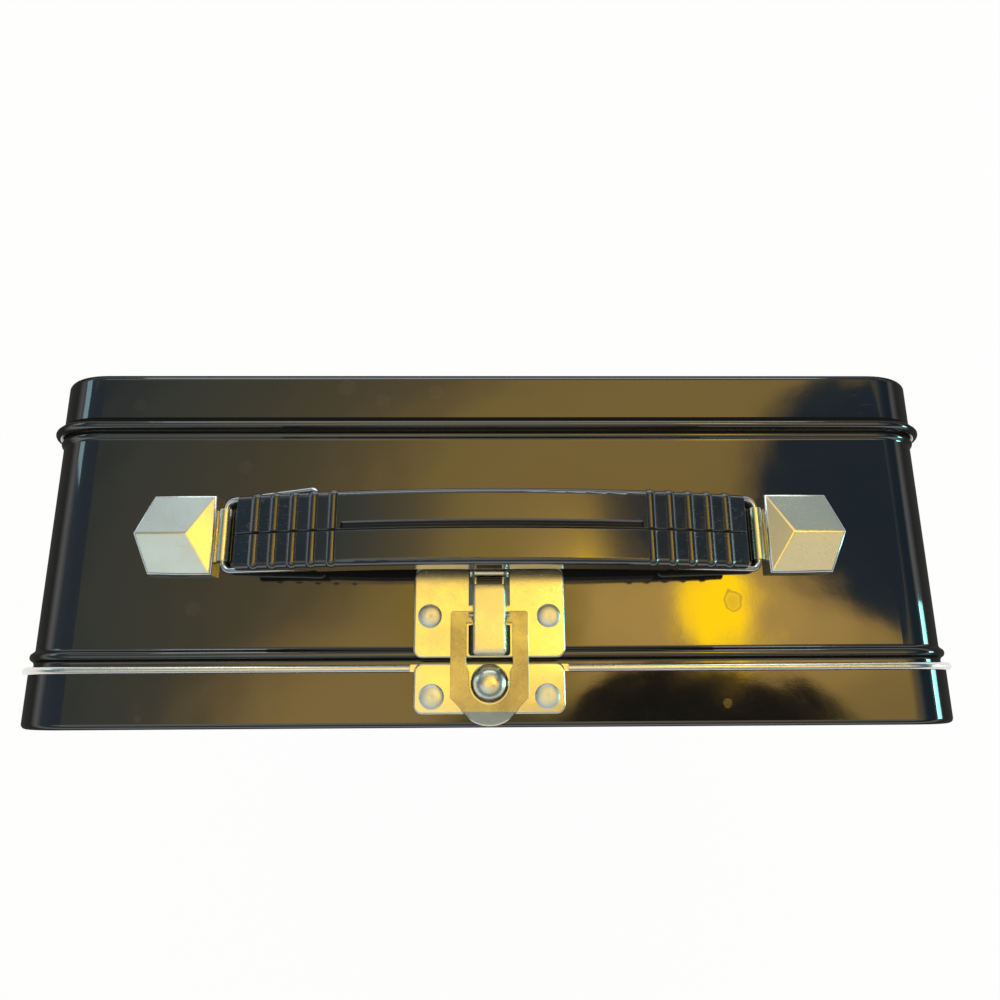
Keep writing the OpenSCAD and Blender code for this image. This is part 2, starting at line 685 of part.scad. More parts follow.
// a wire link with its pivot on the Y axis and its arms towards +X; splay turns the rear arm outwards
module link(splay) {
  b = 2.1;
  h = 1.0;
  rotate([90, 0, 0]) cylinder(r = wire_radius, h = 2 * (link_half - b), center = true);
  for (s = [-1, 1]) mirror([0, s > 0 ? 0 : 1, 0]) {
    a = s > 0 ? splay : 0;
    arm = (link_length - h * (1 + sin(a)) - b * (1 - sin(a))) / cos(a);
    ax = b * (1 - sin(a));
    ay = link_half - b * (1 - cos(a));
    ex = ax + arm * cos(a) + h * sin(a);
    ey = ay + arm * sin(a) - h * cos(a);
    tip = core - 1.7 - s * grip_shift;
    thin = a > 0 ? 0.015 : 0;                // the turned arm is drawn a hair thinner, its ends inside the bends
    translate([b, link_half - b, 0]) mirror([1, 0, 0]) rotate_extrude(angle = 90 - a) translate([b, 0]) circle(wire_radius);
    translate([ax, ay, 0]) rotate([0, 0, a]) rotate([0, 90, 0]) translate([0, 0, -6 * thin]) cylinder(r = wire_radius - thin, h = arm + 12 * thin);
    translate([ex, ey, 0]) rotate_extrude(angle = 90 + a) translate([h, 0]) circle(wire_radius);
    translate([link_length, ey, 0]) rotate([90, 0, 0]) cylinder(r = wire_radius, h = ey - tip);
  }
}

module link_at(s) {
  on_top() translate([handle_x + s * link_pivot, handle_at, pivot_w])
    mirror([s > 0 ? 1 : 0, 0, 0]) rotate([0, -rest_angle, 0]) link(s > 0 ? 0 : link_splay);
}

module link_left() {
  color([0.72, 0.72, 0.7]) link_at(-1);
}

module link_right() {
  color([0.72, 0.72, 0.7]) link_at(1);
}

// flat base with its end rolled into a loop for the link, pivot on the Y axis, base towards +X
module tab() {
  w = tab_width;
  difference() {
    union() {
      rotate([90, 0, 0]) cylinder(r = tab_roll, h = w, center = true);
      translate([0, -w / 2, -tab_roll]) cube([bracket_length - 2, w, tab_thick]);
    }
    rotate([90, 0, 0]) cylinder(r = tab_bore, h = w + 2, center = true);
    for (x = bracket_rivets) translate([bracket_in - link_pivot + x, 0, -5]) cylinder(r = 1.25, h = 6);
  }
}

module tab_at(s) {
  on_top() translate([handle_x + s * link_pivot, handle_at, pivot_w + 0.01]) mirror([s > 0 ? 0 : 1, 0, 0]) tab();
}

module tab_left() {
  color([0.76, 0.74, 0.68]) tab_at(-1);
}

module tab_right() {
  color([0.76, 0.74, 0.68]) tab_at(1);
}

// solid shape of a bracket cover, inner end at x = 0, shrunk by k on every side
module roof(k, low) {
  l = bracket_length - k;
  w = bracket_width / 2 - k;
  q = (bracket_ridge - bracket_wall) / (bracket_width / 2);
  intersection() {
    translate([0, 0, low]) linear_extrude(20)
      polygon([[k, -w], [l - bracket_point, -w], [l, 0], [l - bracket_point, w], [k, w]]);
    translate([-1, 0, 0]) rotate([90, 0, 90]) linear_extrude(40)
      polygon([[-w, low], [w, low], [w, bracket_wall - k + q * k], [0, bracket_ridge - k], [-w, bracket_wall - k + q * k]]);
    translate([0, 20, 0]) rotate([90, 0, 0]) linear_extrude(40)
      polygon([[k, low], [30, low], [30, bracket_ridge + 1], [bracket_hip + k / 2 + 1 * bracket_hip / (bracket_ridge - bracket_wall), bracket_ridge + 1], [k, bracket_wall - k / 2]]);
  }
}

module bracket_at(s) {
  on_top() translate([handle_x + s * bracket_in, handle_at, 0]) mirror([s > 0 ? 0 : 1, 0, 0]) difference() {
    union() {
      difference() {
        roof(0, band_z + 0.01);
        roof(0.7, band_z - 1);
      }
      for (k = [-1, 1]) {
        translate([6, k * (bracket_width / 2 - 0.4) - 0.35, band_z - t - 0.75]) cube([4, 0.7, t + 1.2]);
        translate([6, k * (bracket_width / 2 - 0.4) - (k > 0 ? 2.3 : -0.05) - 0.0, band_z - t - 0.75]) cube([4, 2.25, 0.7]);
      }
    }
    translate([-1, -tab_width / 2 - 0.15, band_z - 1]) cube([3, tab_width + 0.3, 1 + tab_thick + 0.15]);
  }
}

module bracket_left() {
  color([0.8, 0.78, 0.72]) bracket_at(-1);
}

module bracket_right() {
  color([0.8, 0.78, 0.72]) bracket_at(1);
}

module bracket_rivets() {
  color([0.8, 0.78, 0.72])
  on_top() for (s = [-1, 1], x = bracket_rivets)
    translate([handle_x + s * (bracket_in + x), handle_at, band_z + tab_thick + 0.02]) rivet(2.2, 0.8, 1.2, tab_thick + t + 0.04, 0.6);
}

// ---- hinges -------------------------------------------------------------

module knuckle(x0, x1) {
  translate([x0, hinge_at, hinge_z]) rotate([0, 90, 0]) cylinder(r = knuckle_radius, h = x1 - x0);
}

module hinge_body(s) {
  a = hinge_width / 2;
  c = a - 7.2;
  color([0.74, 0.73, 0.7])
  under() translate([s * hinge_x, 0, 0]) difference() {
    union() {
      translate([-a, hinge_at + knuckle_radius + 0.35, rim_out + band_inset - leaf]) cube([hinge_width, 12.5, leaf - 0.01]);
      for (k = [-1, 1]) {
        translate([k > 0 ? c : -a, hinge_at, rim_out + band_inset - leaf]) cube([7.2, 4, leaf - 0.01]);
        knuckle(k > 0 ? c : -a, k > 0 ? a : -c);
      }
    }
    translate([-a - 1, hinge_at, hinge_z]) rotate([0, 90, 0]) cylinder(r = hinge_pin_radius + 0.02, h = hinge_width + 2);
    for (x = hinge_rivets_x) translate([x, body_rivet_at, -1]) cylinder(r = 0.75, h = 5);
  }
}

module hinge_lid(s) {
  c = hinge_width / 2 - 7.2 - 0.35;
  color([0.74, 0.73, 0.7])
  under() translate([s * hinge_x, 0, 0]) difference() {
    union() {
      translate([-hinge_width / 2, hinge_at - 9.8, rim_out - lid_leaf]) cube([hinge_width, 8.4, lid_leaf - 0.01]);
      translate([-c, hinge_at - 4, rim_out - lid_leaf]) cube([2 * c, 4, lid_leaf - 0.01]);
      knuckle(-c, c);
    }
    translate([-c - 1, hinge_at, hinge_z]) rotate([0, 90, 0]) cylinder(r = hinge_pin_radius + hinge_fit, h = 2 * c + 2);
    for (x = hinge_rivets_x) translate([x, lid_rivet_at, -1]) cylinder(r = 0.75, h = 5);
  }
}

module hinge_body_left() {
  hinge_body(-1);
}

module hinge_body_right() {
  hinge_body(1);
}

module hinge_lid_left() {
  hinge_lid(-1);
}

module hinge_lid_right() {
  hinge_lid(1);
}

module hinge_pin(s) {
  color([0.68, 0.68, 0.68])
  under() translate([s * hinge_x - hinge_width / 2 - 0.3, hinge_at, hinge_z]) rotate([0, 90, 0])
    cylinder(r = hinge_pin_radius, h = hinge_width + 0.6);
}

module hinge_pin_left() {
  hinge_pin(-1);
}

module hinge_pin_right() {
  hinge_pin(1);
}

module hinge_body_rivets() {
  color([0.7, 0.7, 0.68])
  under() for (s = [-1, 1], x = hinge_rivets_x)
    translate([s * hinge_x + x, body_rivet_at, rim_out + band_inset - leaf - 0.005]) rotate([180, 0, 0]) rivet(hinge_rivet, 0.55, 0.7, leaf + t + 0.02, 0.4);
}

module hinge_lid_rivets() {
  color([0.7, 0.7, 0.68])
  under() for (s = [-1, 1], x = hinge_rivets_x)
    translate([s * hinge_x + x, lid_rivet_at, rim_out - lid_leaf - 0.005]) rotate([180, 0, 0]) rivet(hinge_rivet, 0.5, 0.7, lid_leaf + t + 0.02, 0.4);
}

body_band();
back_cover();
latch_plate();
latch_strap();
latch_rivets();
bracket_left();
bracket_right();
tab_left();
tab_right();
bracket_rivets();
hinge_body_left();
hinge_body_right();
hinge_pin_left();
hinge_pin_right();
hinge_body_rivets();
front_lid();
lid_curl();
keeper_plate();
keeper_rivets();
hinge_lid_left();
hinge_lid_right();
hinge_lid_rivets();
hasp();
grip_front();
grip_back();
link_left();
link_right();
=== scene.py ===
# A black enamelled lunch box: nickel latch and brackets, a black moulded grip on two wire links.
# X is the width, Y runs from the lid to the back cover, Z is up. Lengths are in metres, or in
# millimetres where a comment says so. The scale of a noise is in cells per metre.
import json
import math
import bmesh
import bpy
from mathutils import Matrix, Vector


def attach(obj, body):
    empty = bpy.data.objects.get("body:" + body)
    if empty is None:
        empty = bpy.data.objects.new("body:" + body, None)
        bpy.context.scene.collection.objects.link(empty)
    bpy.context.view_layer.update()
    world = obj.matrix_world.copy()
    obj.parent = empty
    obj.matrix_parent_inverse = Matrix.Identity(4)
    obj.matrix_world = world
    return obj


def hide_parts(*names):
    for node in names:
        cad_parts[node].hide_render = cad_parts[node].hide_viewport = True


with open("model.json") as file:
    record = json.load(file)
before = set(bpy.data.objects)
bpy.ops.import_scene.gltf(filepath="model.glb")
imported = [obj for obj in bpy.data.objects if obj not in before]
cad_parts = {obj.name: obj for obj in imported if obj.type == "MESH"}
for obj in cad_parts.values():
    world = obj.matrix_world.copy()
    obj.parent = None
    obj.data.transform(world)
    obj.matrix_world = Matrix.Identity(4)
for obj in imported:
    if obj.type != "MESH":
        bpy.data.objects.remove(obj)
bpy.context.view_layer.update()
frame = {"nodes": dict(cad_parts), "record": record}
nodes = frame["nodes"]
bodies_of = {n: b for b, members in frame["record"]["behaviour"]["bodies"].items() for n in members}
MM = 0.001

# places on the box, in millimetres
BOX_MIDDLE = 86.2           # middle of its height
LATCH_X = -0.4              # middle of the latch
HANDLE_X = 0.3              # middle of the handle
BRACKET_X = 63.15           # from there to the inner end of each bracket cover
HINGE_X = 60                # middle of each hinge
LATCH_TOP = 172.2           # top of the latch plate
KEEPER_TOP = 172.5          # top of the keeper plate
SEAT = 0.005                # how far a rivet's head or the knob stands off its plate
KNOB_X, KNOB_Y = LATCH_X, -32.0
SIDES = (-1, 1)             # left and right


def link(ob):
    """An object put into the scene."""
    bpy.context.scene.collection.objects.link(ob)
    return ob


# ---- camera: above the handle, tipped back over the cover ----------------

SENSOR, LENS = 36, 26.64    # millimetres
# the columns are the camera's right, up and backward axes, and its place
CAMERA_FRAME = Matrix((
    (0.999882, 0.00221, -0.015186, -0.000477),
    (-0.005777, 0.97098, -0.239091, -0.031784),
    (0.014217, 0.239151, 0.970878, 0.339030),
    (0, 0, 0, 1)))

eye = bpy.data.cameras.new("eye")
eye.sensor_width, eye.lens = SENSOR, LENS
eye.clip_start, eye.clip_end = 0.01, 60
camera = link(bpy.data.objects.new("eye", eye))
camera.matrix_world = CAMERA_FRAME
bpy.context.scene.camera = camera


# ---- shader maths --------------------------------------------------------

def calc(op, *values):
    """A Math node on numbers and at least one field."""
    field = next(v for v in values if isinstance(v, Field))
    return field.node("ShaderNodeMath", {"operation": op}, dict(enumerate(values)))


def method(op, turned=False):
    """A method of Field for one Math operation; turned puts the field itself last."""
    def made(self, *others):
        return calc(op, *others, self) if turned else calc(op, self, *others)
    return made


class Field:
    """A number, colour or direction that varies over a surface; arithmetic on it adds the nodes."""

    def __init__(self, tree, socket=None):
        self.tree, self.socket = tree, socket

    def put(self, socket, value):
        """Link or set one input socket."""
        if isinstance(value, Field):
            self.tree.links.new(value.socket, socket)
        elif socket.type == "RGBA" and len(value) == 3:
            socket.default_value = (*value, 1)
        else:
            socket.default_value = value

    def node(self, kind, settings=None, inputs=None, out=0):
        """Any node: its settings first, then the values or links of its sockets."""
        n = self.tree.nodes.new(kind)
        for key, value in (settings or {}).items():
            setattr(n, key, value)
        for key, value in (inputs or {}).items():
            if value is not None:
                self.put(n.inputs[key], value)
        return Field(self.tree, n.outputs[out] if n.outputs else None)

    __add__ = method("ADD")
    __radd__ = method("ADD", turned=True)
    __sub__ = method("SUBTRACT")
    __rsub__ = method("SUBTRACT", turned=True)
    __mul__ = method("MULTIPLY")
    __rmul__ = method("MULTIPLY", turned=True)
    __truediv__ = method("DIVIDE")
    __abs__ = method("ABSOLUTE")
    least = method("MINIMUM")
    most = method("MAXIMUM")

    def step(self, low, high):
        """0 below low, 1 above high, smooth between; low above high turns it round."""
        if low > high:
            return 1 - self.step(high, low)
        return self.node("ShaderNodeMapRange", {"interpolation_type": "SMOOTHSTEP"},
                         {"Value": self, "From Min": low, "From Max": high})

    def between(self, low, high, soft):
        """1 from low to high, fading over soft on both sides of each."""
        return self.step(low - soft, low + soft) * self.step(high + soft, high - soft)

    def tint(self, a, b):
        """Colour a where the field is 0, b where it is 1."""
        first, second, result = 6, 7, 2         # the Mix node's colour sockets
        return self.node("ShaderNodeMix", {"data_type": "RGBA"},
                         {"Factor": self, first: a, second: b}, result)

    def ramp(self, stops):
        """The colour at this place along a list of (place, colour)."""
        made = self.node("ShaderNodeValToRGB", None, {0: self})
        elements = made.socket.node.color_ramp.elements
        for i, (place, colour) in enumerate(stops):
            stop = elements[i] if i < 2 else elements.new(place)
            stop.position = place
            stop.color = (*colour, 1)
        return made

    def parts(self):
        """X, Y and Z of a direction or place."""
        n = self.node("ShaderNodeSeparateXYZ", None, {0: self}).socket.node
        return [Field(self.tree, out) for out in n.outputs]

    def scaled(self, x, y, z):
        """A direction or place multiplied along each axis; noise on it is finer by as much."""
        return self.node("ShaderNodeVectorMath", {"operation": "MULTIPLY"}, {0: self, 1: (x, y, z)})

    def noise(self, scale, detail=2.0, rough=0.5, warp=0.0):
        """Values round 0.5 that wander from place to place."""
        return self.node("ShaderNodeTexNoise", None, {
            "Vector": self, "Scale": scale, "Detail": detail, "Roughness": rough, "Distortion": warp})


def distance(dx, dy):
    """The length of a plane vector."""
    return calc("SQRT", dx * dx + dy * dy)


def disc_mask(x, y, centre, radii, soft):
    """1 inside an ellipse in a plane, fading over soft (a share of its radius)."""
    away = distance((x - centre[0]) / radii[0], (y - centre[1]) / radii[1])
    return away.step(1 + soft, 1 - soft)


# ---- room and lamps ------------------------------------------------------
# What the gloss mirrors. A place on the ceiling is the slope of the ray that meets it: how far it
# goes to the right (or to the back) for each unit that it rises.

# by the height over the horizon, as a share of a right angle: white at the floor, then bluish dark
WALLS = [(0.0, (0.97, 0.97, 0.97)), (0.13, (0.95, 0.95, 0.95)), (0.19, (0.50, 0.52, 0.54)),
         (0.27, (0.15, 0.19, 0.25)), (0.40, (0.10, 0.17, 0.25)), (1.0, (0.10, 0.17, 0.25))]
RIGHT_WALL = (0.02, 0.07, 0.12)

# by the distance from the ceiling's brightest place, as a share of its reach: warm, then neutral
CEILING = [(0.0, (0.86, 0.56, 0.15)), (0.29, (0.86, 0.56, 0.15)), (0.36, (0.78, 0.52, 0.15)),
           (0.42, (0.43, 0.31, 0.125)), (0.48, (0.31, 0.24, 0.12)), (0.56, (0.21, 0.19, 0.115)),
           (0.66, (0.15, 0.16, 0.13)), (0.74, (0.07, 0.09, 0.10)), (0.90, (0.05, 0.08, 0.11))]
CEILING_CENTRE, CEILING_REACH, CEILING_LEVEL = (0.30, 0.05), 1.25, 2.0

# the ceiling's front and back ends: colour on the left, colour on the right
FRONT_END = (0.74, 0.86, 0.82), (0.78, 0.66, 0.40)
BACK_END = (0.66, 0.76, 0.74), (0.30, 0.37, 0.35)

# marks on the ceiling, the later ones in front: centre, radii, softness, colour
CEILING_MARKS = {
    "glow, left": ((-0.10, -0.06), (0.24, 0.13), 0.50, (1.95, 1.25, 0.38)),
    "glow round the lamp": ((0.27, 0.08), (0.24, 0.10), 0.60, (3.6, 2.20, 0.55)),
    "glow, middle": ((0.0, 0.07), (0.12, 0.12), 0.30, (1.75, 1.22, 0.18)),
    "shade, middle": ((0.05, -0.075), (0.11, 0.050), 0.45, (0.50, 0.38, 0.15)),
    "dark corner": ((0.72, 0.26), (0.36, 0.22), 0.10, (0.05, 0.11, 0.18)),
    "lamp": ((0.312, 0.095), (0.052, 0.068), 0.34, (11.0, 6.7, 0.0)),
    "shade before the lamp": ((0.275, -0.062), (0.190, 0.088), 0.12, (0.0, 0.0, 0.0)),
}


def room():
    """A pale room under a warm ceiling light; the same for every ray. Heights are in degrees."""
    world = bpy.data.worlds.new("room")
    bpy.context.scene.world = world
    world.use_nodes = True
    world.node_tree.nodes.clear()
    f = Field(world.node_tree)
    x, y, z = f.node("ShaderNodeTexCoord").parts()      # the ray's direction
    rise = z.most(0.02)
    tx, ty = x / rise, y / rise
    height = calc("ARCSINE", z.least(1.0)) * (180 / math.pi)
    light = (height / 90.0).ramp(WALLS)
    light = (tx.step(0.8, 1.6) * height.step(15.0, 22.0)).tint(light, RIGHT_WALL)
    away = distance(tx - CEILING_CENTRE[0], ty - CEILING_CENTRE[1]) / CEILING_REACH
    glow = away.ramp(CEILING).scaled(CEILING_LEVEL, CEILING_LEVEL, CEILING_LEVEL)
    light = height.step(34.0, 46.0).tint(light, glow)
    rightward = tx.step(-0.40, 0.45)
    light = (ty.step(-0.12, -0.20) * height.step(40.0, 50.0)).tint(light, rightward.tint(*FRONT_END))
    light = (ty.step(0.50, 0.62) * height.step(36.0, 44.0)).tint(light, rightward.tint(*BACK_END))
    for centre, radii, soft, colour in CEILING_MARKS.values():
        light = disc_mask(tx, ty, centre, radii, soft).tint(light, colour)
    background = f.node("ShaderNodeBackground", None, {"Color": light, "Strength": 1.0})
    f.node("ShaderNodeOutputWorld", None, {0: background})


LIT_PLACE = (0, 0, 0.17)    # where the lamps aim, on the top of the box


def lamp(name, place, size, radiance, colour, gloss=True):
    """A rectangular lamp, not seen itself; its radiance is what a mirror would show."""
    data = bpy.data.lights.new(name, "AREA")
    data.shape = "RECTANGLE"
    data.size, data.size_y = size
    data.energy = radiance * math.pi * size[0] * size[1]
    data.color = colour
    ob = link(bpy.data.objects.new(name, data))
    ob.location = place
    ob.rotation_euler = (Vector(LIT_PLACE) - Vector(place)).to_track_quat("-Z", "Y").to_euler()
    ob.visible_camera = False
    ob.visible_glossy = gloss


FLOOR_LEVEL = -0.075        # the open lid swings below the foot of the standing box
FLOOR_REACH = 4             # metres from the middle to each edge
FLOOR_WHITENESS = 0.96      # share of plain white, seen or mirrored


def make_floor():
    """A floor of one whiteness for the camera, in gloss and through clear things, which bounces light."""
    mesh = bpy.data.meshes.new("floor")
    corners = [(FLOOR_REACH * i, FLOOR_REACH * j, FLOOR_LEVEL)
               for i, j in ((-1, -1), (1, -1), (1, 1), (-1, 1))]
    mesh.from_pydata(corners, [], [(0, 1, 2, 3)])
    floor = link(bpy.data.objects.new("floor", mesh))
    m = bpy.data.materials.new("floor_white")
    m.use_nodes = True
    m.node_tree.nodes.clear()
    f = Field(m.node_tree)
    rays = f.node("ShaderNodeLightPath").socket.node.outputs
    camera_ray, glossy_ray, through_ray = (
        Field(f.tree, rays[kind]) for kind in ("Is Camera Ray", "Is Glossy Ray", "Is Transmission Ray"))
    seen = (camera_ray + glossy_ray + through_ray).least(1.0)
    lit = f.node("ShaderNodeBsdfDiffuse", None, {"Color": (0.93, 0.93, 0.93)})
    white = f.node("ShaderNodeEmission", None, {"Color": (1.0, 1.0, 1.0), "Strength": 1.0})
    mixed = f.node("ShaderNodeMixShader", None, {0: seen * FLOOR_WHITENESS, 1: lit, 2: white})
    f.node("ShaderNodeOutputMaterial", None, {0: mixed})
    mesh.materials.append(m)


room()
lamp("soft_top", (-0.4, -0.5, 1.9), (1.6, 1.6), 0.75, (1.0, 0.98, 0.95), gloss=False)
lamp("right_window", (1.48, -0.06, 0.39), (0.34, 0.28), 22.0, (0.33, 1.0, 0.98))
lamp("left_window", (-1.28, 0.55, 0.78), (0.40, 0.26), 2.0, (0.55, 0.90, 1.0))
lamp("rear_window", (0.0, 1.30, 0.92), (1.5, 0.34), 3.2, (0.96, 1.0, 0.98))
make_floor()
bpy.context.scene.view_settings.view_transform = "Standard"


# ---- finishes ------------------------------------------------------------

def finish(name, paint):
    """A material from paint(field): a finished shader, or the inputs of a plain one."""
    m = bpy.data.materials.new(name)
    m.use_nodes = True
    m.node_tree.nodes.clear()
    f = Field(m.node_tree)
    made = paint(f)
    shader = made if isinstance(made, Field) else f.node("ShaderNodeBsdfPrincipled", None, made)
    f.node("ShaderNodeOutputMaterial", None, {0: shader})
    return m


def object_place(f):
    """The place on the object, in metres."""
    return f.node("ShaderNodeTexCoord", None, None, "Object")


def bumps(f, height, strength, depth, edge=None, under=None):
    """The shading normal with small bumps, over that of under. With edge, the highlights on corners
    are rounded over that radius."""
    if edge:
        under = f.node("ShaderNodeBevel", {"samples": 4}, {"Radius": edge})
    return f.node("ShaderNodeBump", None, {
        "Strength": strength, "Distance": depth, "Height": height, "Normal": under})


def bare_inside(f, p):
    """1 on the inner side of the sheet, which has no enamel: its faces look at the box's middle."""
    x, y, z = p.parts()
    nx, ny, nz = f.node("ShaderNodeTexCoord", None, None, "Normal").parts()
    band = (nx * x + nz * (z - BOX_MIDDLE * MM)).step(-0.004, -0.012)
    in_a_cover = abs(y).step(0.0372, 0.0376)
    return band.most(in_a_cover * (ny * y).step(-0.018, -0.024))


# dried drops on the top of the box: x, y, radius in millimetres
DROPS = ((-35.0, 37.9, 1.9), (-25.6, 34.5, 1.5), (-13.2, 36.7, 1.7), (11.2, 35.6, 1.8), (25.4, 34.4, 1.6),
         (55.2, -14.2, 2.6), (41.6, -20.7, 1.3), (60.4, -21.8, 1.2), (66.5, -21.9, 1.0), (-58.0, 18.0, 1.6),
         (-67.0, -15.4, 1.5), (-47.0, -37.5, 1.1), (52.0, -36.5, 1.0), (-84.0, 33.5, 1.4))
RIM_WIDTH = 0.14            # millimetres over which a drop's rim fades


def dried_drops(p):
    """How thick the dried drops lie: a rim round a thinner film, with an uneven outline."""
    x, y, z = p.parts()
    wander = p.noise(260.0, 2.0, 0.5) - 0.5
    film = None
    for drop_x, drop_y, radius in DROPS:
        away = distance(x - drop_x * MM, y - drop_y * MM) + wander * (radius * 1.3 * MM)
        rim = away.between(radius * 0.84 * MM, radius * MM, RIM_WIDTH * MM)
        pool = away.step(radius * MM, radius * 0.6 * MM)
        one = rim * 0.8 + pool * 0.5
        film = one if film is None else film.most(one)
    on_top = z.step(0.1690, 0.1697)
    return film * on_top


def enamel(f):
    """Gloss black outside, clear-lacquered tin inside."""
    p = object_place(f)
    inside = bare_inside(f, p)
    cloud = p.noise(38.0, 4.0, 0.6)
    # hairlines from wiping, in two directions, and scratches in worn patches
    worn = p.noise(22.0, 2.0, 0.5).step(0.46, 0.66)
    wiped = p.scaled(90, 90, 1400).noise(1.0, 3.0, 0.7).step(0.60, 0.74)
    wiped_across = p.scaled(1500, 240, 120).noise(1.0, 2.0, 0.6).step(0.64, 0.76)
    scratch = p.scaled(320, 1900, 320).noise(1.0, 1.0, 0.5, 0.6).step(0.70, 0.745) * worn
    specks = p.node("ShaderNodeTexVoronoi", None, {"Vector": p, "Scale": 95.0}, "Distance")
    film = dried_drops(p).most(specks.step(0.085, 0.055) * worn * 0.5)
    black = cloud.tint((0.008, 0.008, 0.0085), (0.013, 0.0125, 0.012))
    marked = (film * 0.5 + scratch * 0.25).least(1.0).tint(black, (0.035, 0.032, 0.027))
    tin = p.noise(900.0, 3.0, 0.6).tint((0.50, 0.49, 0.45), (0.66, 0.65, 0.60))
    colour = inside.tint(marked, tin)
    rough = (0.052 + cloud.step(0.35, 0.75) * 0.035 + wiped * 0.03 + wiped_across * 0.03
             + film * 0.16 + scratch * 0.12 + inside * 0.20)
    # the sheet is not quite flat, and the enamel on it ripples
    sheet = p.noise(34.0, 2.0, 0.5) * (1 - inside)
    ripple = p.noise(520.0, 2.0, 0.5) * 0.6 + p.noise(2600.0, 1.0, 0.5) * 0.25 + film * 0.15 - scratch * 0.2
    normal = bumps(f, ripple, 0.10, 0.00006, under=bumps(f, sheet, 1.0, 0.00035))
    gloss = f.node("ShaderNodeBsdfPrincipled", None, {
        "Base Color": colour, "Metallic": inside * 0.95, "Roughness": rough, "Normal": normal,
        "IOR": 1.75, "Coat Weight": 0.6 * (1 - inside), "Coat Roughness": 0.03, "Coat IOR": 1.5})
    # stoved enamel: its sheen dies away at a low angle
    dull = f.node("ShaderNodeBsdfPrincipled", None, {
        "Base Color": colour, "Metallic": inside * 0.95, "Roughness": 0.6, "Normal": normal,
        "Specular IOR Level": 0.0})
    slanting = f.node("ShaderNodeLayerWeight", None, {"Blend": 0.5}, "Facing").step(0.30, 0.54)
    return f.node("ShaderNodeMixShader", None, {0: slanting * 0.95 * (1 - inside), 1: gloss, 2: dull})


def bright_metal(base, dark, rough, grain, speck, edge=None, contrast=0.45, depth=0.10, clouding=0.25,
                 more=None):
    """Plated sheet: fine specks, soft clouding and short scratches. grain stretches the scratches,
    speck is the specks' scale, contrast and clouding say how far they go from base to dark, depth is
    the bumps' strength, edge rounds the corners, and more(f, p) adds roughness in places."""
    def paint(f):
        p = object_place(f)
        cloud = p.noise(110.0, 3.0, 0.6).step(0.30, 0.72)
        peppered = p.noise(speck, 2.0, 0.7).step(0.48, 0.72)
        scratch = p.scaled(*grain).noise(1.0, 3.0, 0.65).step(0.60, 0.74)
        colour = (peppered * contrast + cloud * clouding).least(1.0).tint(base, dark)
        roughness = rough + cloud * 0.07 + scratch * 0.08 + peppered * 0.04
        if more:
            roughness = roughness + more(f, p)
        height = p.noise(speck * 0.7, 2.0, 0.6) * 0.7 + scratch * 0.3
        return {"Base Color": colour, "Metallic": 1.0, "Roughness": roughness,
                "Normal": bumps(f, height, depth, 0.00004, edge)}
    return paint


def moulded(f):
    """Black moulded plastic, semi-gloss in the middle, scuffed at the ends."""
    p = object_place(f)
    x = p.parts()[0]
    cloud = p.noise(120.0, 4.0, 0.6)
    ends = abs(x - HANDLE_X * MM).step(0.030, 0.054)
    scuff = p.scaled(700, 2600, 500).noise(1.0, 3.0, 0.7).step(0.56, 0.72) * ends
    mark = p.noise(420.0, 3.0, 0.7).step(0.62, 0.70) * ends
    colour = (scuff * 0.4 + mark * 0.4).least(1.0).tint((0.0035, 0.0055, 0.008), (0.035, 0.045, 0.055))
    rough = 0.13 + cloud * 0.09 + scuff * 0.2 + ends * 0.03 + mark * 0.1
    grain = p.noise(2400.0, 2.0, 0.6)
    return {"Base Color": colour, "Roughness": rough, "IOR": 1.92, "Coat Weight": 0.2, "Coat Roughness": 0.10,
            "Normal": bumps(f, grain * 0.6 + scuff * 0.4, 0.15, 0.00005, 0.00015)}


def on_the_knob(f, p):
    """The keeper's knob is a little duller than its plate."""
    return p.parts()[2].step(0.1729, 0.1734) * 0.07


def off_centre(f, p):
    """A rivet's crown is polished, its rim satin."""
    away = f.node("ShaderNodeAttribute", {"attribute_name": "from_axis"}, None, "Fac")
    return away.step(0.10, 0.50) * 0.24


finishes = {
    "enamel": finish("black_enamel", enamel),
    "grip": finish("black_moulding", moulded),
    "tin": finish("bare_tin", bright_metal(
        (0.80, 0.78, 0.72), (0.62, 0.59, 0.52), rough=0.20, grain=(300, 300, 300), speck=4200.0)),
    "nickel": finish("satin_nickel", bright_metal(
        (0.80, 0.79, 0.66), (0.52, 0.49, 0.40), rough=0.17, grain=(500, 2600, 900), speck=5200.0,
        edge=0.0002, more=on_the_knob)),
    "bracket": finish("silvery_nickel", bright_metal(
        (0.74, 0.76, 0.74), (0.60, 0.61, 0.58), rough=0.20, grain=(420, 2100, 900), speck=5200.0,
        contrast=0.25, depth=0.06)),
    "satin": finish("satin_rivet_metal", bright_metal(
        (0.84, 0.89, 0.87), (0.56, 0.60, 0.58), rough=0.15, grain=(900, 900, 900), speck=4600.0,
        contrast=0.35, depth=0.12, more=off_centre)),
    "hasp": finish("brassy_zinc", bright_metal(
        (0.50, 0.49, 0.42), (0.20, 0.17, 0.12), rough=0.20, grain=(900, 900, 900), speck=5600.0,
        edge=0.00025, contrast=0.40, clouding=0.55)),
    "steel": finish("zinc_wire", bright_metal(
        (0.74, 0.75, 0.75), (0.55, 0.55, 0.54), rough=0.16, grain=(900, 900, 900), speck=3800.0,
        contrast=0.20, depth=0.03)),
}
# each CAD node's slot is named after one of these; the hasp is duller than the rest of the latch
for ob in nodes.values():
    ob.data.materials[0] = finishes[ob.data.materials[0].name.split(".")[0]]
nodes["hasp"].data.materials[0] = finishes["hasp"]


# ---- pieces that stand for CAD nodes -------------------------------------

SHARP = 40                  # degrees between faces, over which a smooth piece keeps an edge


